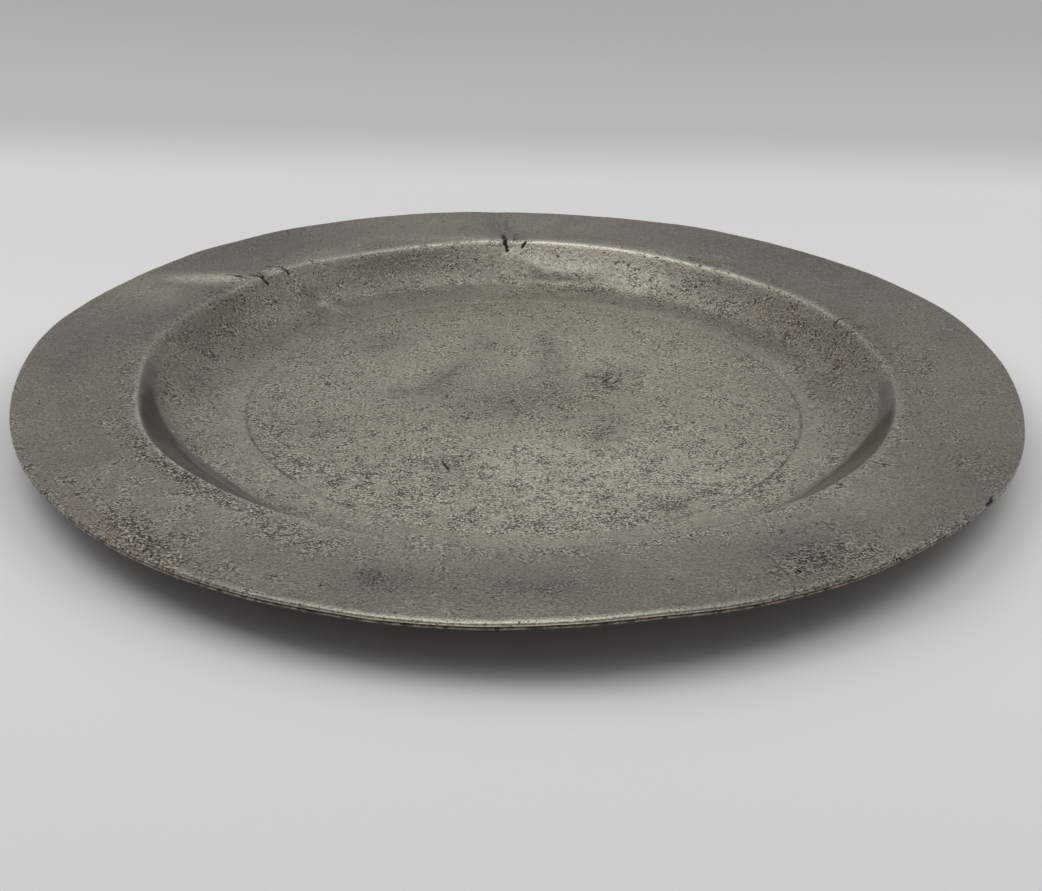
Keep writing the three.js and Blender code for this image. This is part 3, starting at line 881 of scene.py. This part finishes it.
class Pewter(Nodes):
    """Old pewter: cloudy grey, with tarnish, stains, crowds of small marks and rubbed edges, and with
    painted highlights, painted glints and painted shade.
    """

    def __init__(self):
        super().__init__("pewter")
        self.cloud = self.noise(0.03, 4.0, 0.55, 3.0)
        self.blotch = self.noise(0.16, 4.0, 0.6, 11.0)
        self.speck = self.noise(0.8, 3.0, 0.6, 29.0)
        self.grain = self.noise(1.7, 2.0, 0.6, 47.0)
        self.tint = self.noise(0.11, 3.0, 0.5, 71.0)
        self.wear_and_highlight = self.mask("wear_and_highlight")
        self.wall = self.mask("wall")
        self.calm = self.line(self.wall, 0.0, 1.0, 1.0, 0.08, "LINEAR")
        self.add_marks()
        creases = self.line(self.streaks(0.75, 3.4, 7.0), 0.50, 0.62)
        patchy = self.line(self.blotch, 0.35, 0.6, 0.3, 1.0)
        self.creases = self.times(creases, self.times(self.mask("wrinkle"), patchy))
        mixed = self.sum(self.times(self.blotch, 0.6), self.times(self.speck, 0.4))
        self.dark = self.times(self.mask("stain"), self.line(mixed, 0.42, 0.58, 0.35, 1.0))
        deep = self.most(self.times(self.mask("pit"), 0.9), self.line(self.mask("crack"), 0.1, 0.6))
        self.filth = self.most(self.times(self.holes, 0.92), deep)

    def add_marks(self):
        """Crowds of small dark marks, each with a painted highlight on its lip, and the coarse grain among
        them.
        """
        cluster = self.times(self.noise(0.30, 2.0, 0.5, 59.0), 1.5)
        crowd = self.sum(self.times(self.mask("pitted"), 0.95), self.times(self.blotch, 1.5), cluster, -1.70)
        crowd = self.line(crowd, 0.0, 1.0, 0.0, 1.0, "LINEAR")
        limit = self.line(crowd, 0.0, 1.0, 0.64, 0.48, "LINEAR")
        marks = self.line(self.less(self.noise(*MARK_NOISE), limit), 0.0, MARK_EDGE)
        lip_highlights = self.line(self.less(self.noise(*MARK_NOISE, LIP_HIGHLIGHT_NUDGE), limit), 0.0, MARK_EDGE)
        self.lip_highlights = self.times(lip_highlights, self.times(self.less(1.0, marks), self.calm))
        dots = self.spots(0.80, self.line(crowd, 0.0, 1.0, 0.96, 0.62, "LINEAR"), 0.36, 5.0)
        self.holes = self.times(self.most(marks, dots), self.calm)
        rugged = self.times(self.line(crowd, 0.0, 1.0, 0.16, 1.0, "LINEAR"), self.calm)
        self.grit = self.times(self.line(self.grain, 0.38, 0.62, -1.0, 1.15, "LINEAR"), rugged)

    def metal(self):
        """The grey of the metal with its tarnish, brighter and duller in places, some of them painted
        highlights and painted shade, and with a painted highlight on the lip of each mark.
        """
        base = self.mix(self.line(self.cloud, 0.35, 0.65), PLAIN_GREY, PALE_GREY)
        base = self.mix(self.line(self.blotch, 0.36, 0.66, 0.0, 0.55), base, BRIGHT_GREY)
        base = self.mix(self.line(self.tint, 0.42, 0.62, 0.0, 0.4), base, GREEN_GREY)
        base = self.mix(self.line(self.tint, 0.52, 0.40, 0.0, 0.35), base, PINK_GREY)
        tarnish = self.times(self.mask("tarnish"), self.line(self.blotch, 0.4, 0.6, 0.25, 0.85))
        base = self.mix(tarnish, base, BROWN)
        bright = self.line(self.mask("tone_and_light"), 0.0, 1.5, 0.4, 2.2, "LINEAR")
        # The lip of each mark gets a painted highlight
        bright = self.sum(bright, self.times(self.grit, 1.05), self.times(self.lip_highlights, 0.42))
        return self.shade(base, self.node("ShaderNodeCombineColor", {0: bright, 1: bright, 2: bright}, 0))

    def add_color(self):
        """Stains, dirt, rubbed places and painted light laid over the metal: painted shade along the foot of
        the wall, painted highlights on the rubbed crest and edges, and painted glints.
        """
        # Painted shade along the foot of the wall
        foot = self.times(self.mask("foot"), self.line(self.blotch, 0.3, 0.6, 0.1, 0.35))
        specks = self.times(self.line(self.speck, 0.50, 0.68, 0.0, 0.45), self.calm)
        ring = self.times(self.mask("ring"), self.line(self.blotch, 0.35, 0.6, 0.35, 0.8))
        mixed = self.sum(self.times(self.speck, 0.5), self.times(self.grain, 0.5))
        # Rubbed metal, partly a painted highlight on the crest of the mouth and on the edges
        rub_and_highlight = self.times(self.wear_and_highlight, self.line(mixed, 0.36, 0.54, 0.45, 1.0))
        # Painted glints: small bright specks of light in the colour
        painted_glint = self.times(self.line(self.noise(1.7, 1.0, 0.5, 137.0), 0.745, 0.765), self.calm)
        base = self.metal()
        for share, color in (
            (self.times(self.dark, 0.85), STAIN_GREY),
            (foot, FOOT_SHADE_GREY),
            (specks, SPECK_GREY),
            (ring, RING_GREY),
            (self.times(self.creases, 0.55), CREASE_GREY),
            (rub_and_highlight, RUBBED_HIGHLIGHT),
            (self.times(painted_glint, 0.7), PAINTED_GLINT),
            (self.filth, DIRT),
        ):
            base = self.mix(share, base, color)
        self.put(self.shader.inputs["Base Color"], base)
        self.put(self.shader.inputs["Metallic"], self.line(self.filth, 0.0, 1.0, 1.0, 0.1, "LINEAR"))

    def add_roughness(self):
        specks = self.times(self.line(self.speck, 0.3, 0.7, -0.04, 0.06), self.calm)
        rough = self.sum(self.line(self.wall, 0.0, 1.0, 0.38, 0.13, "LINEAR"), specks)
        rough = self.sum(rough, self.times(self.wear_and_highlight, -0.08))
        rough = self.sum(rough, self.times(self.filth, 0.35), self.times(self.dark, 0.08))
        self.put(self.shader.inputs["Roughness"], rough)

    def add_bump(self):
        specks = self.times(self.times(self.speck, self.calm), 0.14)
        height = self.sum(self.times(self.grit, 0.08), specks, self.times(self.holes, -0.20))
        height = self.sum(height, self.times(self.creases, -0.10))
        bump = self.node("ShaderNodeBump", {"Height": height, "Distance": MM, "Strength": 1.0}, 0)
        self.put(self.shader.inputs["Normal"], bump)


def pewter_material():
    pewter = Pewter()
    pewter.add_color()
    pewter.add_roughness()
    pewter.add_bump()
    return pewter.material


def wire_material():
    n = Nodes("wire")
    dirt = n.mask("dirt")
    speck = n.noise(0.7, 4.0, 0.6, 17.0)
    base = n.mix(n.line(speck, 0.36, 0.62), (0.46, 0.415, 0.335, 1), (0.25, 0.232, 0.195, 1))
    filth = n.times(dirt, n.line(speck, 0.42, 0.6))
    base = n.mix(n.times(filth, 0.8), base, (0.06, 0.054, 0.045, 1))
    n.put(n.shader.inputs["Base Color"], base)
    n.shader.inputs["Metallic"].default_value = 1.0
    n.put(n.shader.inputs["Roughness"], n.line(speck, 0.3, 0.7, 0.34, 0.55))
    bump = n.node("ShaderNodeBump", {"Height": speck, "Distance": 0.12 * MM, "Strength": 1.0}, 0)
    n.put(n.shader.inputs["Normal"], bump)
    return n.material


def solder_material():
    n = Nodes("solder")
    dirt = n.mask("dirt")
    lump = n.noise(0.5, 4.0, 0.55, 23.0)
    base = n.mix(n.line(lump, 0.35, 0.65), (0.40, 0.40, 0.385, 1), (0.24, 0.235, 0.215, 1))
    base = n.mix(n.times(dirt, 0.4), base, (0.12, 0.11, 0.095, 1))
    n.put(n.shader.inputs["Base Color"], base)
    n.shader.inputs["Metallic"].default_value = 1.0
    n.put(n.shader.inputs["Roughness"], n.line(lump, 0.3, 0.7, 0.5, 0.65))
    bump = n.node("ShaderNodeBump", {"Height": lump, "Distance": 0.2 * MM, "Strength": 1.0}, 0)
    n.put(n.shader.inputs["Normal"], bump)
    return n.material


# ---------------------------------------------------------------- camera, light and floor
CAMERA_AT = Vector((0.0, -445.0 * MM, 205.0 * MM))
CAMERA_AIM = Vector((0.66 * MM, -40.8 * MM, EDGE_TOP * MM))
CAMERA_ROLL = math.radians(1.07)
CAMERA_LENS = 69.1

# Two square lamps behind the sides, aimed at the plate: (name, place in metres, watts)
LAMPS = [("left_lamp", (-0.69, 0.50, 0.75), 5.7), ("right_lamp", (0.69, 0.50, 0.75), 5.2)]
LAMP_SIDE = 0.9

# The room's brightness, added up from rows of (direction, cosine of the angle to it where the
# change begins, cosine where it is complete, brightness before, brightness after)
ROOM = [
    ((0.0, 1.0, 0.8), -0.1, 0.7, 0.15, 0.375),
    ((-0.10, 0.30, 0.95), 0.82, 0.97, 0.0, 0.65),
]

# Painted shade: the floor's colour darkens behind the plate, standing in for light falling off: (from, to)
# in metres along Y, and how much
FLOOR_SHADE_FADES = [(-0.02, 0.18, 0.26), (0.172, 0.245, 0.50), (0.235, 0.430, 0.24)]
FLOOR_NEAR = (0.78, 0.78, 0.77, 1.0)
FLOOR_FAR = (0.39, 0.39, 0.39, 1.0)
FLOOR_HALF = 6.0


def add_camera():
    data = bpy.data.cameras.new("camera")
    data.lens = CAMERA_LENS
    data.sensor_width = 36.0
    data.clip_start = 0.01
    camera = bpy.data.objects.new("camera", data)
    bpy.context.scene.collection.objects.link(camera)
    turn = (CAMERA_AIM - CAMERA_AT).to_track_quat("-Z", "Y").to_matrix().to_4x4()
    camera.matrix_world = Matrix.Translation(CAMERA_AT) @ turn @ Matrix.Rotation(CAMERA_ROLL, 4, "Z")
    bpy.context.scene.camera = camera


def add_ramps(tree, ramps):
    """Adds up smooth ramps: rows of (socket, from, to, start, end)."""
    total = None
    for socket, low, high, start, end in ramps:
        ramp = tree.nodes.new("ShaderNodeMapRange")
        ramp.interpolation_type = "SMOOTHSTEP"
        for name, value in (("From Min", low), ("From Max", high), ("To Min", start), ("To Max", end)):
            ramp.inputs[name].default_value = value
        tree.links.new(socket, ramp.inputs["Value"])
        added = tree.nodes.new("ShaderNodeMath")
        added.inputs[1].default_value = 0.0
        tree.links.new(ramp.outputs[0], added.inputs[0])
        if total:
            tree.links.new(total, added.inputs[1])
        total = added.outputs[0]
    return total


def add_floor():
    """A pale, flat floor whose colour darkens behind the plate, a painted shade for the light falling off.
    """
    signs = ((-1, -1), (1, -1), (1, 1), (-1, 1))
    corners = [(x * FLOOR_HALF, y * FLOOR_HALF, 0.0) for x, y in signs]
    mesh = bpy.data.meshes.new("floor")
    mesh.from_pydata(corners, [], [(0, 1, 2, 3)])
    floor = bpy.data.objects.new("floor", mesh)
    bpy.context.scene.collection.objects.link(floor)
    material = bpy.data.materials.new("floor")
    material.use_nodes = True
    tree = material.node_tree
    place = tree.nodes.new("ShaderNodeTexCoord")
    parts = tree.nodes.new("ShaderNodeSeparateXYZ")
    tree.links.new(place.outputs["Object"], parts.inputs[0])
    color = tree.nodes.new("ShaderNodeMix")
    color.data_type = "RGBA"
    ramps = [(parts.outputs[1], low, high, 0.0, share) for low, high, share in FLOOR_SHADE_FADES]
    tree.links.new(add_ramps(tree, ramps), color.inputs[0])
    color.inputs[6].default_value = FLOOR_NEAR
    color.inputs[7].default_value = FLOOR_FAR
    shader = tree.nodes["Principled BSDF"]
    tree.links.new(color.outputs[2], shader.inputs["Base Color"])
    shader.inputs["Roughness"].default_value = 0.9
    mesh.materials.append(material)


def add_lamp(name, at, power):
    """A square lamp that lights the floor and the plate, but isn't mirrored in the metal."""
    data = bpy.data.lights.new(name, "AREA")
    data.shape = "SQUARE"
    data.size = LAMP_SIDE
    data.energy = power
    light = bpy.data.objects.new(name, data)
    light.location = at
    light.rotation_mode = "QUATERNION"
    light.rotation_quaternion = (-Vector(at)).to_track_quat("-Z", "Y")
    light.visible_glossy = False
    bpy.context.scene.collection.objects.link(light)


def add_light():
    """A dim room in front, a pale one behind and overhead, and two big soft lamps."""
    world = bpy.data.worlds.new("world")
    bpy.context.scene.world = world
    world.use_nodes = True
    tree = world.node_tree
    place = tree.nodes.new("ShaderNodeTexCoord")
    ramps = []
    for towards, *ramp in ROOM:
        lean = tree.nodes.new("ShaderNodeVectorMath")
        lean.operation = "DOT_PRODUCT"
        lean.inputs[1].default_value = towards
        tree.links.new(place.outputs["Generated"], lean.inputs[0])
        ramps.append((lean.outputs["Value"], *ramp))
    background = tree.nodes["Background"]
    background.inputs["Color"].default_value = (0.97, 0.98, 1.0, 1.0)
    tree.links.new(add_ramps(tree, ramps), background.inputs["Strength"])
    for lamp in LAMPS:
        add_lamp(*lamp)


bpy.context.scene.view_settings.view_transform = "Standard"
bpy.context.scene.view_settings.look = "None"

add_camera()
add_floor()
add_light()

body = make_body()
wire = make_ring("rim_wire_visual", wire_section(), 0.05)
solder = make_ring("solder_fillet_visual", solder_section(), 0.10)
for piece, node, slot, material in (
    (body, "plate_body", "pewter", pewter_material()),
    (wire, "rim_wire", "wire", wire_material()),
    (solder, "solder_fillet", "solder", solder_material()),
):
    piece.data.materials.append(material)
    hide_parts(node)
    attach(piece, "root")
